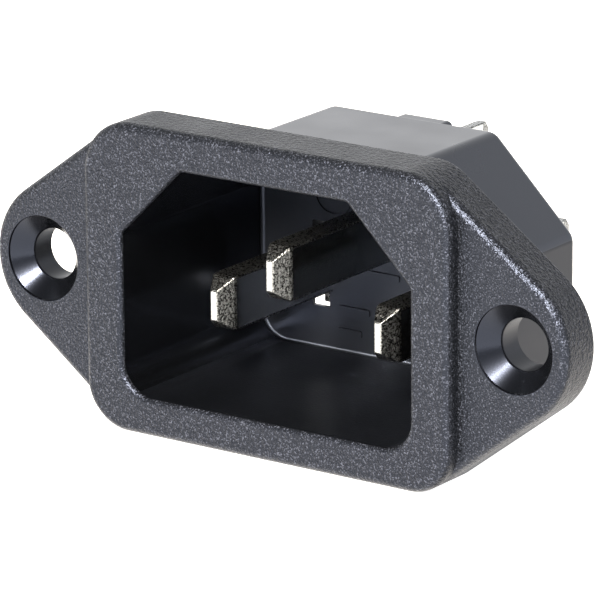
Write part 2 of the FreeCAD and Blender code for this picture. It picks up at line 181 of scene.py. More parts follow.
def keyed(side, top, key, key_radius, corner_radius):
    """The six discs of a rectangle whose two upper corners are cut off at 45 degrees.

    The cut would meet the straight sides at key from the square corner. To leave room for its
    round ends, each disc's centre lies key_radius x (square root of 2 - 1) further back.
    """
    low_right, _, _, low_left = corners(side, top, corner_radius)
    slip = key + key_radius * (math.sqrt(2) - 1)
    low = (side - key_radius, top - slip)
    high = (side - slip, top - key_radius)
    return [low_right, (*low, key_radius), (*high, key_radius),
            (-high[0], high[1], key_radius), (-low[0], low[1], key_radius), low_left]


def quarter(radius, steps=8):
    """A rounded edge: how far in, and how far back, a quarter circle goes in equal turns.

    At the turn t it is still radius x (1 - sin t) in and has come radius x (1 - cos t) back.
    """
    turn = np.linspace(0, math.pi / 2, steps + 1)
    return radius * (1 - np.sin(turn)), radius * (1 - np.cos(turn))


print("points round a rounded square:", len(band(corners(1.0, 1.0, 0.2))[1]))

# %% [markdown]
# ## From rings to closed meshes
#
# `loft` stacks rings along Y and closes both ends. It is one grid of points, index (ring, place),
# filled by numpy broadcasting, and one grid of quads. `build` hands the arrays to Blender with
# `foreach_set`, which is far quicker than making vertices one by one.

# %% Meshes from arrays
def build(name, points, faces, material):
    """A mesh object from an (n, 3) array of points and a list of index arrays, one per face."""
    mesh = bpy.data.meshes.new(name)
    sizes = np.array([len(face) for face in faces], np.int32)
    starts = np.concatenate([[0], np.cumsum(sizes)[:-1]]).astype(np.int32)
    mesh.vertices.add(len(points))
    mesh.vertices.foreach_set("co", np.ascontiguousarray(points, np.float32).ravel())
    mesh.loops.add(int(sizes.sum()))
    mesh.loops.foreach_set("vertex_index", np.concatenate(faces).astype(np.int32))
    mesh.polygons.add(len(faces))
    mesh.polygons.foreach_set("loop_start", starts)
    mesh.materials.append(material)
    mesh.update(calc_edges=True)
    mesh.validate()
    obj = bpy.data.objects.new(name, mesh)
    bpy.context.scene.collection.objects.link(obj)
    return obj


def skin_of(grid_shape):
    """The faces of a stack of closed rings, shape (rings, places), with an end cap at each end.

    A quad joins a place and the place ahead on one ring to the same two on the next ring.
    """
    count, places = grid_shape
    grid = np.arange(count * places).reshape(count, places)
    ahead = np.roll(grid, -1, axis=1)
    quads = np.stack([grid[:-1], grid[1:], ahead[1:], ahead[:-1]], axis=-1).reshape(-1, 4)
    return [*quads, grid[0], grid[-1][::-1]]


def loft(name, outline, along, inset, material):
    """Rings of one outline at the depths along[k], each moved in by inset[k].

    In X and Z a point is its disc's centre + (radius - inset) x normal, and in Y it is along.
    """
    centre, radius, normal, _ = outline
    flat = centre + (radius - np.asarray(inset)[:, None])[..., None] * normal
    depth = np.broadcast_to(np.asarray(along, float)[:, None], flat.shape[:2])
    points = np.stack([flat[..., 0], depth, flat[..., 1]], axis=-1)
    return build(name, points.reshape(-1, 3), skin_of(flat.shape[:2]), material)


print("faces of three rings of four points:", len(skin_of((3, 4))))

# %% [markdown]
# ## Joining and cutting
#
# A mould cuts its own shape out of space, and booleans do the same here. They are applied at
# once, one after the other, so that no cutter stays in the scene. The exact solver is slower
# than the fast one and leaves closed meshes. The volume is measured after every step, because a
# boolean that fails shows up there first.

# %% Measure and combine
def volume(mesh):
    """Volume inside a closed mesh: a sixth of the sum of a . (b x c) over its triangles."""
    mesh.calc_loop_triangles()
    corner = np.empty(len(mesh.loop_triangles) * 3, np.int32)
    mesh.loop_triangles.foreach_get("vertices", corner)
    co = np.empty(len(mesh.vertices) * 3, np.float32)
    mesh.vertices.foreach_get("co", co)
    a, b, c = co.reshape(-1, 3).astype(float)[corner.reshape(-1, 3)].transpose(1, 0, 2)
    return float((a * np.cross(b, c)).sum() / 6)


def applied(obj):
    """A new mesh of the object with its modifiers applied."""
    bpy.context.view_layer.update()
    worked_out = obj.evaluated_get(bpy.context.evaluated_depsgraph_get())
    return bpy.data.meshes.new_from_object(worked_out)


def combine(target, tool, operation):
    """Joins a tool to the target, or cuts it away, and throws the tool away.

    Faces that a cutter leaves behind keep the cutter's material, which is how the socket gets a
    finish of its own.
    """
    step = target.modifiers.new("step", "BOOLEAN")
    step.operation, step.solver, step.object = operation, "EXACT", tool
    step.material_mode = "TRANSFER"
    made = applied(target)
    before, target.data = target.data, made
    target.modifiers.clear()
    bpy.data.meshes.remove(before)
    scrap = tool.data
    bpy.data.objects.remove(tool)
    bpy.data.meshes.remove(scrap)
    return target


cad_volume = volume(frame["nodes"]["housing"].data) / MM ** 3
print(f"the engineering model's moulding: {cad_volume:.1f} mm3")

# %% [markdown]
# ## The nylon and its skins
#
# The moulding is one plastic, and its skin is what the mould made of it. The mould was
# spark-eroded where it shapes the flange and the collar, which leaves a fine pitted grain. It was
# only ground where it shapes the body, which comes out satin. The core that forms the socket was
# polished.
#
# A bump map tilts the light at each point, but no bump ever hides the next one from it, as real
# grain does where the light or the eye comes in low. So the main skins have quieter relatives,
# for edges and sides that are met at a low angle, and there is a pale, shiny one that is a painted
# highlight along the line round the socket's floor.
#
# All of them are one recipe for a Principled BSDF with other numbers. Painted image textures
# could do it too, but noise that reads *Object* coordinates, in metres, needs no unwrapping and
# has a real size: a scale of 5000 puts one cell in 0.2 mm.

# %% Helpers for node trees
NOISE_SPAN = (0.3, 0.7)              # nearly all of a noise's values lie between these


def new_material(name, colour, roughness, metallic=0.0):
    """A material with a Principled BSDF, and shorthands to add nodes and join their sockets."""
    material = bpy.data.materials.new(name)
    material.use_nodes = True
    material.diffuse_color = (*colour, 1)
    tree = material.node_tree
    shader = tree.nodes["Principled BSDF"]
    shader.inputs["Base Color"].default_value = (*colour, 1)
    shader.inputs["Roughness"].default_value = roughness
    shader.inputs["Metallic"].default_value = metallic

    def add(kind, **values):
        node = tree.nodes.new(kind)
        for key, value in values.items():
            if key in node.inputs:
                node.inputs[key].default_value = value
            else:
                setattr(node, key, value)
        return node

    def join(output, target):
        tree.links.new(output, target)

    return material, shader, add, join


def noise(add, join, place, scale, detail, roughness):
    """A noise field on the piece's own coordinates."""
    node = add("ShaderNodeTexNoise", Scale=scale, Detail=detail, Roughness=roughness)
    join(place.outputs["Object"], node.inputs["Vector"])
    return node.outputs["Fac"]


def remap(add, join, output, span, result):
    """Stretches a value evenly from the span (low, high) to the result (at low, at high)."""
    node = add("ShaderNodeMapRange")
    for key, value in zip(("From Min", "From Max", "To Min", "To Max"), (*span, *result)):
        node.inputs[key].default_value = value
    join(output, node.inputs["Value"])
    return node.outputs["Result"]


def raise_bump(add, join, shader, height, depth):
    """Tilts the shading normal by the slope of a height field that is depth metres tall."""
    bump = add("ShaderNodeBump", Strength=1.0, Distance=depth)
    join(height, bump.inputs["Height"])
    join(bump.outputs["Normal"], shader.inputs["Normal"])


def two_colours(add, join, shader, share, first, second):
    """The base colour: (1 - share) x first + share x second."""
    colour = add("ShaderNodeMix", data_type="RGBA")
    join(share, colour.inputs["Factor"])
    colour.inputs["A"].default_value = (*first, 1)
    colour.inputs["B"].default_value = (*second, 1)
    join(colour.outputs["Result"], shader.inputs["Base Color"])


print("one cell of noise at a scale of 5000:", 1 / 5000 / MM, "mm")

# %% The nylon's recipe
NYLON = (0.0075, 0.0085, 0.0105)
FLECK = (0.072, 0.080, 0.104)
SHEEN_TINT = (0.62, 0.72, 1.0, 1)
NYLON_IOR = 1.53
GRAIN_DETAIL, GRAIN_ROUGHNESS = 1.0, 0.6
FINE_SCALE, FINE_SHARE = 2.2, 0.60   # the fine layer's scale and height against the coarse one's
FLECK_SPAN = (0.55, 0.77)            # the fine layer's value where a fleck begins and is whole
DRIFT_SCALE, DRIFT_DETAIL, DRIFT_ROUGHNESS = 180.0, 2.0, 0.55


def nylon(name, roughness, spread, grain_scale, grain_depth, fleck, lift, shine):
    """Black nylon, whose height is the coarse noise + FINE_SHARE x the fine noise.

    The flecks are glass, and show where the fine noise is high: fleck is how much of their
    colour shows. lift brightens the black itself, and shine is how strongly the skin mirrors
    what it faces (0.5 is a flawless skin). A slow drift moves the roughness by the spread.
    """
    base = tuple(c * lift for c in NYLON)
    flecked = tuple(b + (f - b) * fleck for b, f in zip(base, FLECK))
    material, shader, add, join = new_material(name, base, roughness)
    place = add("ShaderNodeTexCoord")
    coarse = noise(add, join, place, grain_scale, GRAIN_DETAIL, GRAIN_ROUGHNESS)
    fine = noise(add, join, place, grain_scale * FINE_SCALE, GRAIN_DETAIL, GRAIN_ROUGHNESS)
    drift = noise(add, join, place, DRIFT_SCALE, DRIFT_DETAIL, DRIFT_ROUGHNESS)

    height = add("ShaderNodeMath", operation="MULTIPLY_ADD")
    join(fine, height.inputs[0])
    height.inputs[1].default_value = FINE_SHARE
    join(coarse, height.inputs[2])
    raise_bump(add, join, shader, height.outputs["Value"], grain_depth)

    share = remap(add, join, fine, FLECK_SPAN, (0.0, 1.0))
    two_colours(add, join, shader, share, base, flecked)
    wander = (roughness - spread, roughness + spread)
    join(remap(add, join, drift, NOISE_SPAN, wander), shader.inputs["Roughness"])
    shader.inputs["IOR"].default_value = NYLON_IOR
    shader.inputs["Specular IOR Level"].default_value = shine
    shader.inputs["Specular Tint"].default_value = SHEEN_TINT
    return material


# %% Nine skins: name, roughness, spread, grain's scale and depth in metres, fleck, lift, shine
grained = nylon("nylon_spark_eroded", 0.34, 0.03, 3800.0, 0.00007, 0.56, 0.3, 0.26)
rim = nylon("nylon_rim", 0.40, 0.04, 3600.0, 0.00014, 0.40, 0.3, 0.15)
quiet = nylon("nylon_quiet", 0.60, 0.04, 3800.0, 0.00007, 0.90, 2.0, 0.03)
# A painted highlight: a pale, shiny skin for the line round the socket's floor.
painted_edge_highlight = nylon("nylon_painted_edge_highlight", 0.30, 0.03, 6000.0, 0.00001, 1.0, 9.0, 0.5)
satin = nylon("nylon_satin", 0.30, 0.03, 9000.0, 0.000002, 0.02, 0.4, 0.34)
polished = nylon("nylon_polished", 0.22, 0.03, 7000.0, 0.000001, 0.01, 0.12, 0.34)
brushed = nylon("nylon_brushed", 0.38, 0.03, 5000.0, 0.00001, 0.03, 0.12, 0.34)
dull = nylon("nylon_dull", 0.34, 0.03, 9000.0, 0.000002, 0.02, 0.4, 0.16)
matt = nylon("nylon_floor", 0.36, 0.03, 7000.0, 0.000003, 0.03, 0.8, 0.4)
print("main skins:", grained.name, satin.name, polished.name, matt.name)

# %% [markdown]
# ## The plating
#
# A contact is cut from brass strip and then nickel-plated. The strip's own faces stay smooth from
# the rolls. The cut ones are sheared, and where the metal tore they are pitted and dark. Both are
# the same metal, with Metallic at 1, so the colour tints the mirror image itself. One noise drives
# colour, height and roughness together, because a torn pit is dark, deep and rough at once.

# %% Two platings from one recipe
NICKEL = (0.60, 0.62, 0.62)
TORN_SPAN = (0.42, 0.60)             # the noise's value where the plate is torn and is whole
PLATE_DETAIL, PLATE_ROUGHNESS = 3.0, 0.6
SMOOTHER, ROUGHER = 0.8, 1.25


def nickel(name, roughness, grain_scale, grain_depth, dark, light):
    """Nickel plate over brass: a metal whose colour, roughness and height follow one fine noise.

    dark is how much of the colour is left where the sheared surface is torn open, and light how
    much there is elsewhere.
    """
    material, shader, add, join = new_material(name, NICKEL, roughness, 1.0)
    place = add("ShaderNodeTexCoord")
    grain = noise(add, join, place, grain_scale, PLATE_DETAIL, PLATE_ROUGHNESS)
    raise_bump(add, join, shader, grain, grain_depth)
    whole = remap(add, join, grain, TORN_SPAN, (0.0, 1.0))
    two_colours(add, join, shader, whole, [c * dark for c in NICKEL], [c * light for c in NICKEL])
    wander = (roughness * SMOOTHER, roughness * ROUGHER)
    join(remap(add, join, grain, NOISE_SPAN, wander), shader.inputs["Roughness"])
    return material


rolled = nickel("nickel_rolled", 0.16, 3000.0, 0.000001, 0.66, 0.74)
sheared = nickel("nickel_sheared", 0.28, 7000.0, 0.00006, 0.05, 0.46)
print("platings:", rolled.name, sheared.name)

# %% [markdown]
# ## The flange and the collar
#
# The flange is a band round six discs: the collar's four corners and the two ear tips. The
# collar is a rounded rectangle on the same four corner discs, and stands 1 mm proud. Their front
# edges are rounded, which is where the light runs along them.
#
# An extruded curve could make both, but its own bevel changes the outline. Here the outline and
# the rounded edge are each given their real size.

# %% Flange and collar
EAR_R, EAR_EDGE, COLLAR_EDGE, BACK_EDGE = 5.8, 0.6, 0.6, 0.1
COLLAR_SIDE, COLLAR_CORNER, COLLAR_LOW_CORNER = 15.55, 4.0, 3.5

low_right, _, _, low_left = corners(COLLAR_SIDE, TOP, COLLAR_LOW_CORNER)
_, top_right, top_left, _ = corners(COLLAR_SIDE, TOP, COLLAR_CORNER)
right_ear, left_ear = (EAR_END - EAR_R, 0.0, EAR_R), (EAR_R - EAR_END, 0.0, EAR_R)
flange_outline = band([right_ear, top_right, top_left, left_ear, low_left, low_right])
touching = flange_outline[3] % (2 * math.pi)       # where the flange leaves the shared discs
collar_outline = band([low_right, top_right, top_left, low_left], shared=touching)

edge_in, edge_back = quarter(EAR_EDGE)
back_in, back_rise = quarter(BACK_EDGE, 4)
housing = loft("housing_moulding", flange_outline,
               [*(EAR_FACE + edge_back), *(-back_rise[::-1])],
               [*edge_in, *back_in[::-1]], grained)
edge_in, edge_back = quarter(COLLAR_EDGE)
collar = loft("collar", collar_outline, [*(COLLAR_FRONT + edge_back), -ROOT],
              [*edge_in, 0.0], grained)
combine(housing, collar, "UNION")
print(f"flange and collar: {len(housing.data.polygons)} faces, {volume(housing.data):.1f} mm3")

# %% [markdown]
# ## The body behind the panel
#
# The body is a box with two bevelled upper corners, which follow the key of the socket inside it.
# A short boss on its rear carries the earth contact. Both are lofts of their own, joined to the
# flange, because each has an outline of its own and the edge between them is sharp on the real
# moulding.

# %% Body
SIDE_WALL, TOP_WALL = 1.35, 0.95
BODY_SIDE, BODY_TOP = SOCKET_SIDE + SIDE_WALL, SOCKET_TOP + TOP_WALL
BODY_KEY, BODY_KEY_R, BODY_CORNER, BODY_EDGE = 6.595, 1.2, 3.2, 0.6

edge_in, edge_back = quarter(BODY_EDGE)
body_outline = band(keyed(BODY_SIDE, BODY_TOP, BODY_KEY, BODY_KEY_R, BODY_CORNER))
body = loft("body", body_outline, [-ROOT, *(BODY_REAR - edge_back[::-1])],
            [0.0, *edge_in[::-1]], satin)
combine(housing, body, "UNION")
print(f"with the body: {volume(housing.data):.1f} mm3")

# %% Where the contacts stand, and the boss
BOSS_SIDE, BOSS_BELOW, BOSS_ABOVE = 2.2, 3.1, 7.2
BOSS_EDGE, BOSS_ROOT = 0.4, 0.6
BOSS_CORNER = BOSS_EDGE + 0.05

line_x, line_z = (line_low[0] + line_high[0]) / 2, (line_low[2] + line_high[2]) / 2
earth_tab_z = earth_high[2] - TAB_TOP
earth_z = earth_low[2] + PIN_TOP

boss_low, boss_high = earth_z - BOSS_BELOW, earth_z + BOSS_ABOVE
boss_middle = (boss_low + boss_high) / 2
boss_discs = [(dx, boss_middle + dz, r)
              for dx, dz, r in corners(BOSS_SIDE, (boss_high - boss_low) / 2, BOSS_CORNER)]
edge_in, edge_back = quarter(BOSS_EDGE)
boss = loft("boss", band(boss_discs), [BODY_REAR - BOSS_ROOT, *(BOSS_REAR - edge_back[::-1])],
            [0.0, *edge_in[::-1]], satin)
combine(housing, boss, "UNION")
print(f"line pin at {line_x:.2f}, {line_z:.2f}, with the boss: {volume(housing.data):.1f} mm3")

# %% [markdown]
# ## Cutting the socket
#
# The cutter is the space that the polished core filled: the keyed outline, small at the floor's
# rounded edge, straight along the walls, then flared through the mouth's round and out past the
# front. To cut it as one solid is the way the real core does it, and it gives all the inner
# faces the polished skin in one go.

# %% The socket
SOCKET_KEY, SOCKET_KEY_R, SOCKET_CORNER = 5.2, 0.5, 2.3
MOUTH_EDGE, FLOOR_EDGE = 0.4, 0.3

floor_in, floor_back = quarter(FLOOR_EDGE, 5)
mouth_out, mouth_back = quarter(MOUTH_EDGE, 6)
socket_outline = band(keyed(SOCKET_SIDE, SOCKET_TOP, SOCKET_KEY, SOCKET_KEY_R, SOCKET_CORNER))
core = loft("core", socket_outline,
            [COLLAR_FRONT - PAST, *(COLLAR_FRONT + mouth_back), *(SOCKET_FLOOR - floor_back[::-1])],
            [-MOUTH_EDGE, *-mouth_out, *floor_in[::-1]], polished)
combine(housing, core, "DIFFERENCE")
print(f"with the socket: {volume(housing.data):.1f} mm3")

# %% [markdown]
# ## Screw holes
#
# A countersunk hole is a turned shape: a circle whose radius changes with depth. It could be spun
# from a profile, but it is the same loft with a round outline. A short straight step sits above
# the 90 degree cone, and the edges are broken by less than a tenth of a millimetre, as a mould
# pin's are.

# %% Turned shapes
def disc_outline(x, z, radius, places=96):
    """A circle as an outline: one centre, one radius, normals spread evenly round."""
    angle = np.arange(places) * 2 * math.pi / places
    normal = np.stack([np.cos(angle), np.sin(angle)], axis=1)
    return np.tile([x, z], (places, 1)), np.full(places, radius), normal, angle


def turned(name, x, z, profile, material):
    """A shape turned about an axis along Y: rows of (y, radius), front to back.

    The outline's own radius is nothing, so an inset of minus the radius gives the ring its size.
    """
    y, radius = np.array(profile, float).T
    return loft(name, disc_outline(x, z, 0.0), y, -radius, material)


print("points round a turned shape:", len(disc_outline(0.0, 0.0, 1.0)[1]))

# %% Two countersunk holes
HEAD_R, HEAD_STEP, EDGE_BREAK = 3.1, 0.2, 0.08

cone_top = EAR_FACE + HEAD_STEP
cone_foot = cone_top + HEAD_R - BORE_R
hole_profile = [
    (EAR_FACE - PAST, HEAD_R + EDGE_BREAK),
    (EAR_FACE, HEAD_R + EDGE_BREAK),
    (EAR_FACE + EDGE_BREAK / 3, HEAD_R + EDGE_BREAK / 3),
    (EAR_FACE + EDGE_BREAK, HEAD_R),
    (cone_top, HEAD_R),
    (cone_foot - EDGE_BREAK, BORE_R + EDGE_BREAK),
    (cone_foot + EDGE_BREAK / 2, BORE_R + EDGE_BREAK / 6),
    (cone_foot + 2 * EDGE_BREAK, BORE_R),
    (-EDGE_BREAK, BORE_R),
    (0.0, BORE_R + EDGE_BREAK),
    (PAST, BORE_R + EDGE_BREAK),
]
for side in (-1, 1):
    combine(housing, turned("mould_pin", side * HOLE_X, 0.0, hole_profile, polished), "DIFFERENCE")
print(f"with the screw holes: {volume(housing.data):.1f} mm3")

# %% [markdown]
# ## Raised marks on the floor
#
# Such a floor carries the maker's raised marks. Here they are plain stand-ins: a ring and three
# bars, 0.14 mm proud, enough for their edges to catch the light. A real mould has them engraved
# in the end of its core. They are joined as solids rather than left to a bump map, because a
# bump has no edge when it is seen this low.

# %% A ring and three bars
MARK_HEIGHT, MARK_ROOT, MARK_LINE = 0.14, 0.2, 0.25
RING_X, RING_Z, RING_R = -5.9, 3.3, 1.7
BARS = ((-1.6, -2.2, 1.5), (-4.1, -5.2, 1.4), (-4.5, -6.9, 1.1))     # x, z, half length

mark_near, mark_far = SOCKET_FLOOR - MARK_HEIGHT, SOCKET_FLOOR + MARK_ROOT
ring_outline = disc_outline(RING_X, RING_Z, RING_R)
ring = loft("ring", ring_outline, [mark_near, mark_far], [0.0, 0.0], polished)
inside_ring = loft("inside_ring", ring_outline, [mark_near - PAST, mark_far + PAST],
                   [MARK_LINE, MARK_LINE], polished)
combine(housing, combine(ring, inside_ring, "DIFFERENCE"), "UNION")
for x, z, half in BARS:
    mark_discs = [(x + dx, z + dz, r) for dx, dz, r in corners(half, MARK_LINE, MARK_LINE / 2)]
    mark = loft("mark", band(mark_discs), [mark_near, mark_far], [0.0, 0.0], polished)
    combine(housing, mark, "UNION")
print(f"with the raised marks: {volume(housing.data):.1f} mm3")

# %% [markdown]
# ## The floor's slots
#
# Each contact is pushed in from the front, tab first. Its tab needs a tall narrow slot, and its
# shank is gripped by a window of the pin's own section. Behind the two lower slots the moulding
# is relieved, so daylight shows past the tab in a small patch under the pin. All of these are
# plain bars, so one helper makes every cutter.

# %% Slots
TAB_SIDE, TAB_ROOT = 0.4, 0.9
SLOT_SIDE, SLOT_TOP, SLOT_CORNER = TAB_SIDE + 0.35, TAB_TOP + 0.05, 0.06


def slab(name, x, z, side, top, low, high, corner, material):
    """A bar along Y with rounded corners, from y = low to high, about (x, z)."""
    discs = [(x + dx, z + dz, r) for dx, dz, r in corners(side, top, corner)]
    return loft(name, band(discs), [low, high], [0.0, 0.0], material)


for x, z, tab_z, rear in ((line_x, line_z, line_z, BODY_REAR), (-line_x, line_z, line_z, BODY_REAR),
                          (0.0, earth_z, earth_tab_z, BOSS_REAR)):
    near, far = SOCKET_FLOOR - PAST, rear + PAST
    window = slab("window", x, z, PIN_SIDE, PIN_TOP, near, far, SLOT_CORNER, satin)
    combine(housing, window, "DIFFERENCE")
    slot = slab("slot", x, tab_z, SLOT_SIDE, SLOT_TOP, near, far, SLOT_CORNER, satin)
    combine(housing, slot, "DIFFERENCE")
print(f"with the slots: {volume(housing.data):.1f} mm3")

# %% Reliefs behind the two lower slots
RELIEF_SIDE, RELIEF_END, RELIEF_WEB = 2.1, 3.95, 0.3

relief_drop, relief_half = (RELIEF_END + PIN_TOP) / 2, (RELIEF_END - PIN_TOP) / 2
for x in (line_x, -line_x):
    relief = slab("relief", x, line_z - relief_drop, RELIEF_SIDE, relief_half,
                  SOCKET_FLOOR + RELIEF_WEB, BODY_REAR + PAST, SLOT_CORNER, satin)
    combine(housing, relief, "DIFFERENCE")
print(f"finished moulding: {volume(housing.data):.1f} mm3, engineering model {cad_volume:.1f} mm3")

# %% [markdown]
# ## Clean shading
#
# Smooth shading averages the normals of the faces round a vertex, which drags a shadow across a
# large flat face next to a round. Two steps put that right: edges sharper than 28 degrees are
# marked sharp, and the Weighted Normal modifier lets the large faces win at every vertex. It is
# applied at once, so the mesh that leaves `finish` is final, and it is brought to metres there.

# %% Finish a piece
CREASE = math.radians(28)
LARGE_FACES_WIN = 80                 # the modifier's weight, where 50 is an even vote


def finish(obj):
    """Smooth shading with sharp creases and weighted normals, in metres."""
    mesh = obj.data
    mesh.polygons.foreach_set("use_smooth", np.ones(len(mesh.polygons), bool))
    mesh.set_sharp_from_angle(angle=CREASE)
    weigh = obj.modifiers.new("weigh", "WEIGHTED_NORMAL")
    weigh.keep_sharp, weigh.weight = True, LARGE_FACES_WIN
    made = applied(obj)
    made.name = obj.name
    obj.data = made
    obj.modifiers.clear()
    bpy.data.meshes.remove(mesh)
    made.transform(Matrix.Scale(MM, 4))


def face_centres(mesh):
    """Centres and normals of all faces, as two (n, 3) arrays."""
    centre, normal = (np.empty(len(mesh.polygons) * 3, np.float32) for _ in range(2))
    mesh.polygons.foreach_get("center", centre)
    mesh.polygons.foreach_get("normal", normal)
    return centre.reshape(-1, 3), normal.reshape(-1, 3)


def open_edges(mesh):
    """How many edges don't lie between exactly two faces."""
    edge = np.empty(len(mesh.loops), np.int32)
    mesh.loops.foreach_get("edge_index", edge)
    return int((np.bincount(edge, minlength=len(mesh.edges)) != 2).sum())


print("open edges of the moulding so far:", open_edges(housing.data))

# %% [markdown]
# ## Which skin lies where
#
# Every face has kept the skin of the loft or the cutter that made it. What is left is done by
# place: where a face lies, and which way its normal points. Behind the panel the flange is satin.
# Rounds that turn away from the front get the rim's skin, and those on the collar's left side the
# quiet one. The bores and the body's sides are dull. Inside the socket, the mouth's round is
# grained, the floor is matt, the lower wall is brushed, and the round between these two gets a
# pale skin that is a painted highlight.
#
# Masks over the face arrays do this in a line each. Painting faces by hand would have to be done
# again after every change of a size.

# %% Lay the skins
SIDEWAYS, STRAIGHT_ACROSS, UPWARDS = 0.5, 0.98, 0.9
RIM_TURN, SIDE_TURN, LEFT_TURN = -0.45, -0.75, -0.85     # the normal's Y, -1 facing the front
# FLOOR_TURN finds the floor, and the other three pick its edge's round, which gets a painted
# highlight.
FLOOR_TURN, HIGHLIGHT_LOW, HIGHLIGHT_HIGH, HIGHLIGHT_UP = -0.3, -0.99, -0.88, 0.2

for extra in (rim, matt, painted_edge_highlight, dull, brushed, quiet):
    housing.data.materials.append(extra)
names = [material.name for material in housing.data.materials]
(face_x, face_y, _), (across, out, up) = (rows.T for rows in face_centres(housing.data))
from_middle = np.abs(face_x)
skin = np.empty(len(out), np.int32)
housing.data.polygons.foreach_get("material_index", skin)


def has(material):
    """Which faces have this skin now."""
    return skin == names.index(material.name)


def lay(material, where):
    """Lays this skin on the faces that the mask picks."""
    skin[where] = names.index(material.name)


lay(satin, (face_y > -BACK_EDGE) & has(grained))
eroded = has(grained)
lay(rim, eroded & (out > RIM_TURN))
on_collar_side = eroded & (np.abs(across) > SIDEWAYS) & (from_middle < COLLAR_SIDE)
lay(rim, on_collar_side & (out > SIDE_TURN))
lay(quiet, on_collar_side & (out > LEFT_TURN) & (across < 0))
inside = has(polished)
lay(dull, inside & (from_middle > COLLAR_SIDE) & (face_y > cone_foot))
lay(dull, has(satin) & (np.abs(across) > STRAIGHT_ACROSS))
lay(grained, inside & (face_y < COLLAR_FRONT + MOUTH_EDGE))
at_floor = inside & (out < FLOOR_TURN) & (face_y > SOCKET_FLOOR - FLOOR_EDGE)
lay(matt, at_floor)
lay(brushed, inside & ~at_floor & (up > UPWARDS) & (from_middle < SOCKET_SIDE))
# A pale skin paints a highlight along the round between the floor and the lower wall.
lay(painted_edge_highlight, at_floor & (out > HIGHLIGHT_LOW) & (out < HIGHLIGHT_HIGH) & (up > HIGHLIGHT_UP))
housing.data.polygons.foreach_set("material_index", skin)
print("faces of each skin:", dict(zip(names, np.bincount(skin, minlength=len(names)))))

# %% Finish the moulding and put it in the frame
finish(housing)
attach(housing, "root")
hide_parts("housing")
print(f"housing: {len(housing.data.polygons)} faces, open edges {open_edges(housing.data)}")

# %% [markdown]
# ## The contacts
#
# Each contact is stamped from one bar: a bevelled nose, the pin, a shank in the floor, two
# swaged lugs that keep it from pulling out, and a 6.3 mm tab. A bar along Y needs only four
# numbers a station: half width, half height, corner radius and place. `bar` turns a table of
# stations into rings, again as one array. `loft` can't do this, because it moves all sides of an
# outline in by the same amount, and a pin's nose narrows more across than up.

# %% Bars from stations
def bar(name, x, z, stations, material, turns=6):
    """A bar along Y: rows of (y, half width, half height, corner radius), front to back.

    Each ring is a rounded rectangle: the corner's centre, which lies inside by the corner
    radius, plus that radius times a normal that turns through a quarter circle a corner.
    """
    y, side, top, corner = np.array(stations, float).T
    sign = np.array([(1, -1), (1, 1), (-1, 1), (-1, -1)]).repeat(turns + 1, axis=0)
    start = np.arange(-1, 3)[:, None] * math.pi / 2
    angle = (np.linspace(0, math.pi / 2, turns + 1) + start).ravel()
    normal = np.stack([np.cos(angle), np.sin(angle)], axis=1)
    half = np.stack([side - corner, top - corner], axis=1)
    flat = np.array([x, z]) + sign * half[:, None] + corner[:, None, None] * normal
    depth = np.broadcast_to(y[:, None], flat.shape[:2])
    points = np.stack([flat[..., 0], depth, flat[..., 1]], axis=-1)
    return build(name, points.reshape(-1, 3), skin_of(flat.shape[:2]), material)


# %% The nose
NOSE, NOSE_SIDE, NOSE_TOP, PIN_CORNER = 1.3, 0.3, 1.1, 0.2
NOSE_EDGE, NOSE_BLEND = 0.07, 0.10
NOSE_RINGS, NOSE_REACH, NOSE_LAST = 22, 1.5, 1.49        # rings, and how far in nose lengths
CORNER_LOSS, EDGE_LOSS = 0.7, 0.5                        # of the corner radius, towards the flat


def nose_stations(front):
    """The nose: its flat's edge is a quarter round, and its slope runs softly into the shank.

    Along the slope a share falls from 1 at the flat to 0 at the shank. The softened share is
    half of (share + sqrt(share squared + blend squared)). Each half size is the pin's, less the
    share of its difference to the flat's.
    """
    inside, back = quarter(NOSE_EDGE, 4)
    run = np.concatenate([back, np.linspace(NOSE_EDGE * 2, NOSE * NOSE_REACH, NOSE_RINGS)])
    inside = np.concatenate([inside, np.zeros(NOSE_RINGS)])
    share = 1 - run / NOSE
    share = (share + np.sqrt(share ** 2 + NOSE_BLEND ** 2)) / 2
    share = np.minimum(share / share[0], 1) * (run < NOSE * NOSE_LAST)
    side = PIN_SIDE - (PIN_SIDE - NOSE_SIDE) * share - inside
    top = PIN_TOP - (PIN_TOP - NOSE_TOP) * share - inside
    corner = PIN_CORNER * (1 - CORNER_LOSS * share) - inside * EDGE_LOSS
    return list(zip(front + run, side, top, corner))


print("stations of a nose:", len(nose_stations(0.0)))

# %% One contact
LUG_SIDE, LUG_TOP, LUG_LONG, LUG_CORNER, LUG_EDGE = 1.6, 1.5, 0.8, 0.2, 0.1
TAB_CORNER, TAB_LEAD, TAB_TIP = 0.1, 1.0, 0.5
LATCH_R, LATCH_BACK = 0.9, 3.9
FACING = 0.995                       # a normal's share along an axis, on a face square to it


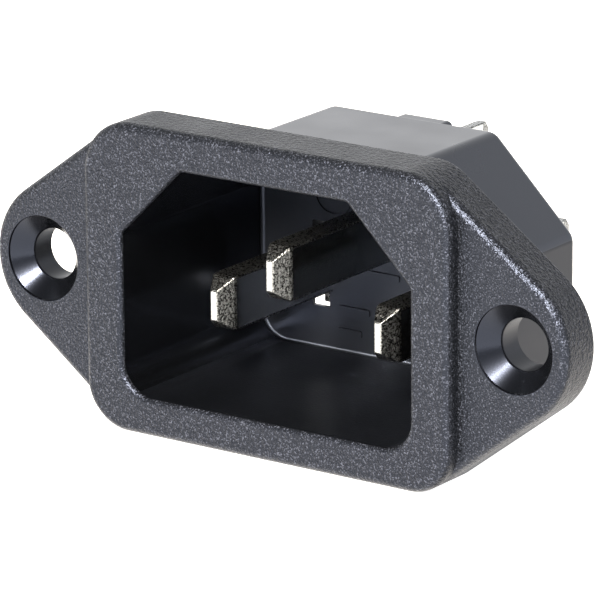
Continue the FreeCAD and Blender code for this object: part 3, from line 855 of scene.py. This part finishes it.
def make_contact(name, node, x, z, tab_z, seat):
    """One contact as its pin, lugs and tab, joined, with the tab's latch hole drilled.

    seat is where the lugs lie on the moulding. The faces across and the nose's flat are rolled
    plate, and all the others are sheared.
    """
    low, high = (np.array(corner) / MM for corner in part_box(node))
    tip = high[1]
    shank_end = (seat + LUG_LONG, PIN_SIDE, PIN_TOP, PIN_CORNER)
    pin = bar(name, x, z, [*nose_stations(low[1]), shank_end], sheared)
    lugs = bar("lugs", x, z, [
        (seat, LUG_SIDE, LUG_TOP, LUG_CORNER),
        (seat + LUG_LONG - LUG_EDGE, LUG_SIDE, LUG_TOP, LUG_CORNER),
        (seat + LUG_LONG, LUG_SIDE - LUG_EDGE, LUG_TOP - LUG_EDGE, LUG_EDGE)], sheared)
    tab = bar("tab", x, tab_z, [
        (seat - TAB_ROOT, TAB_SIDE, TAB_TOP, TAB_CORNER),
        (tip - TAB_LEAD, TAB_SIDE, TAB_TOP, TAB_CORNER),
        (tip - TAB_TIP, TAB_SIDE * 0.8, TAB_TOP, TAB_CORNER * 0.8),
        (tip, TAB_SIDE * 0.55, TAB_TOP - TAB_TIP, TAB_CORNER * 0.5)], sheared, 4)
    combine(pin, lugs, "UNION")
    combine(pin, tab, "UNION")
    drill = turned("drill", 0.0, 0.0, [(-PAST, LATCH_R), (PAST, LATCH_R)], sheared)
    drill.data.transform(Matrix.Translation((x, tip - LATCH_BACK, tab_z))
                         @ Matrix.Rotation(math.pi / 2, 4, "Z"))
    combine(pin, drill, "DIFFERENCE")

    centre, normal = face_centres(pin.data)
    on_nose = (normal[:, 1] < -FACING) & (centre[:, 1] < low[1] + NOSE)
    flat = (np.abs(normal[:, 0]) > FACING) | on_nose
    pin.data.materials.append(rolled)
    plate = flat.astype(np.int32) * (len(pin.data.materials) - 1)
    pin.data.polygons.foreach_set("material_index", plate)
    finish(pin)
    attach(pin, "root")
    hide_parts(node)
    made, cad = volume(pin.data) / MM ** 3, volume(frame["nodes"][node].data) / MM ** 3
    print(f"{name}: {len(pin.data.polygons)} faces, {made:.1f} mm3 against {cad:.1f}, "
          f"open edges {open_edges(pin.data)}")


# %% Three contacts
make_contact("line_pin_and_tab", "line_contact", line_x, line_z, line_z, BODY_REAR)
make_contact("neutral_pin_and_tab", "neutral_contact", -line_x, line_z, line_z, BODY_REAR)
make_contact("earth_pin_and_tab", "earth_contact", 0.0, earth_z, earth_tab_z, BOSS_REAR)

# %% [markdown]
# ## The table
#
# A black object shows only what it reflects, so it stands in a white tent. Its floor is a pale
# table that gives off a little light of its own, as a light table does. It stays white that way,
# and the shadow on it stays faint. A brighter lamp would whiten it too, but would burn out the
# pins.

# %% A pale table that glows
TABLE_SIDE, TABLE_GREY, TABLE_GLOW = 8.0, 0.50, 1.0      # the side in metres
table_height = cad_low.z
table_corners = np.array([(-1, -1, 0), (1, -1, 0), (1, 1, 0), (-1, 1, 0)], float) * TABLE_SIDE
table = build("table", table_corners + [0, 0, table_height], [np.arange(4)],
              new_material("table_white", (TABLE_GREY,) * 3, 0.9)[0])
glow = table.data.materials[0].node_tree.nodes["Principled BSDF"]
glow.inputs["Emission Color"].default_value = (1, 1, 1, 1)
glow.inputs["Emission Strength"].default_value = TABLE_GLOW
print("table at", round(table_height / MM, 2), "mm")

# %% [markdown]
# ## The tent
#
# The tent's walls are the world: bright near the horizon and dim overhead, and brighter behind
# the object than in front of it. The flange's face then stays dark while the rounds and the
# body's top catch the far wall. Brightness is a curve over height times a curve over depth. Next
# to the horizon a third curve keeps it from falling under white, whichever way one looks, so the
# table's edge doesn't show. Big lamps could make the walls too, but would leave edges in the
# reflections.

# %% The walls of the tent, as a world
TENT_LIGHT = 2.1
BY_HEIGHT = [(0.30, 1.0), (0.55, 0.75), (0.80, 0.28)]    # Z of the direction, brightness
BY_DEPTH = [(0.10, 0.30), (0.50, 0.43), (0.85, 1.0)]     # 0 in front to 1 behind, brightness
BY_HORIZON = [(0.0, 0.5), (0.08, 0.5), (0.16, 0.0)]      # Z of the direction, brightness
world = bpy.data.worlds.new("tent")
bpy.context.scene.world = world
world.use_nodes = True
nodes, links = world.node_tree.nodes, world.node_tree.links


def grade(output, stops):
    """A smooth curve through (value, brightness) stops, as a colour ramp."""
    ramp = nodes.new("ShaderNodeValToRGB")
    ramp.color_ramp.interpolation = "EASE"
    while len(ramp.color_ramp.elements) < len(stops):
        ramp.color_ramp.elements.new(0.5)
    for element, (value, level) in zip(ramp.color_ramp.elements, stops):
        element.position, element.color = value, (level, level, level, 1)
    links.new(output, ramp.inputs["Fac"])
    return ramp.outputs["Color"]


def blend(kind, first, second):
    """Two brightnesses in one: MULTIPLY takes their product and LIGHTEN the greater."""
    node = nodes.new("ShaderNodeMix")
    node.data_type, node.blend_type = "RGBA", kind
    node.inputs["Factor"].default_value = 1.0
    links.new(first, node.inputs["A"])
    links.new(second, node.inputs["B"])
    return node.outputs["Result"]


direction = nodes.new("ShaderNodeTexCoord")
split = nodes.new("ShaderNodeSeparateXYZ")
links.new(direction.outputs["Generated"], split.inputs["Vector"])
shift = nodes.new("ShaderNodeMath")                      # Y from -1..1 to 0..1
shift.operation = "MULTIPLY_ADD"
shift.inputs[1].default_value, shift.inputs[2].default_value = 0.5, 0.5
links.new(split.outputs["Y"], shift.inputs[0])
walls = blend("MULTIPLY", grade(split.outputs["Z"], BY_HEIGHT),
              grade(shift.outputs["Value"], BY_DEPTH))
walls = blend("LIGHTEN", walls, grade(split.outputs["Z"], BY_HORIZON))
links.new(walls, nodes["Background"].inputs["Color"])
nodes["Background"].inputs["Strength"].default_value = TENT_LIGHT
print("nodes in the tent's world:", len(nodes))

# %% [markdown]
# ## The key lamp
#
# One soft lamp from the upper right lights the grain and puts the highlight on the round edges
# and the pins. A lamp with a real size gives a highlight that has a size too. It is set by its
# radiance, the brightness of its own surface, so that changing its size doesn't change how
# bright its mirror image is.

# %% One lamp
KEY_PLACE, KEY_WIDTH, KEY_HEIGHT = (0.15, -0.375, 0.294), 0.13, 0.26     # metres
KEY_RADIANCE, KEY_COLOUR = 140.0, (1.25, 1.14, 1.0)
FOCUS = Vector((0, 0, 0))


def lamp(name, place, width, height, radiance, colour):
    """A soft rectangular lamp that looks at the object. Its power is radiance x pi x area."""
    data = bpy.data.lights.new(name, "AREA")
    data.shape, data.size, data.size_y = "RECTANGLE", width, height
    data.energy = radiance * math.pi * width * height
    data.color = colour
    obj = bpy.data.objects.new(name, data)
    bpy.context.scene.collection.objects.link(obj)
    obj.location = Vector(place)
    obj.rotation_euler = (FOCUS - obj.location).to_track_quat("-Z", "Y").to_euler()
    obj.visible_camera = False
    return obj


key = lamp("key", KEY_PLACE, KEY_WIDTH, KEY_HEIGHT, KEY_RADIANCE, KEY_COLOUR)
print("key lamp:", round(key.data.energy, 1), "W")

# %% [markdown]
# ## The camera
#
# A long lens from close by shows the small part as one sees it on a bench with one eye: the
# nearer ear is a little larger than the far one. Azimuth, elevation and roll are turned into a
# place and a quaternion here, which is easier to check than a constraint.

# %% The camera
VIEW_AZIMUTH, VIEW_ELEVATION, VIEW_ROLL = (math.radians(v) for v in (35.57, 16.44, -0.46))
VIEW_DISTANCE, VIEW_LENS, SENSOR_WIDTH = 0.3653, 315.0, 36.0
VIEW_NEAR, VIEW_FAR = 0.02, 50.0
VIEW_AIM = Vector((0.12, -0.13, -0.60)) * MM

back = Vector((math.sin(VIEW_AZIMUTH) * math.cos(VIEW_ELEVATION),
               -math.cos(VIEW_AZIMUTH) * math.cos(VIEW_ELEVATION), math.sin(VIEW_ELEVATION)))
camera_data = bpy.data.cameras.new("camera")
camera_data.lens, camera_data.sensor_width = VIEW_LENS, SENSOR_WIDTH
camera_data.clip_start, camera_data.clip_end = VIEW_NEAR, VIEW_FAR
camera = bpy.data.objects.new("camera", camera_data)
bpy.context.scene.collection.objects.link(camera)
camera.rotation_mode = "QUATERNION"
camera.rotation_quaternion = (-back).to_track_quat("-Z", "Y") @ Matrix.Rotation(
    VIEW_ROLL, 3, "Z").to_quaternion()
camera.location = VIEW_AIM + back * VIEW_DISTANCE
bpy.context.scene.camera = camera
bpy.context.scene.view_settings.view_transform = "Standard"
print("camera at", tuple(round(v / MM, 1) for v in camera.location), "mm")
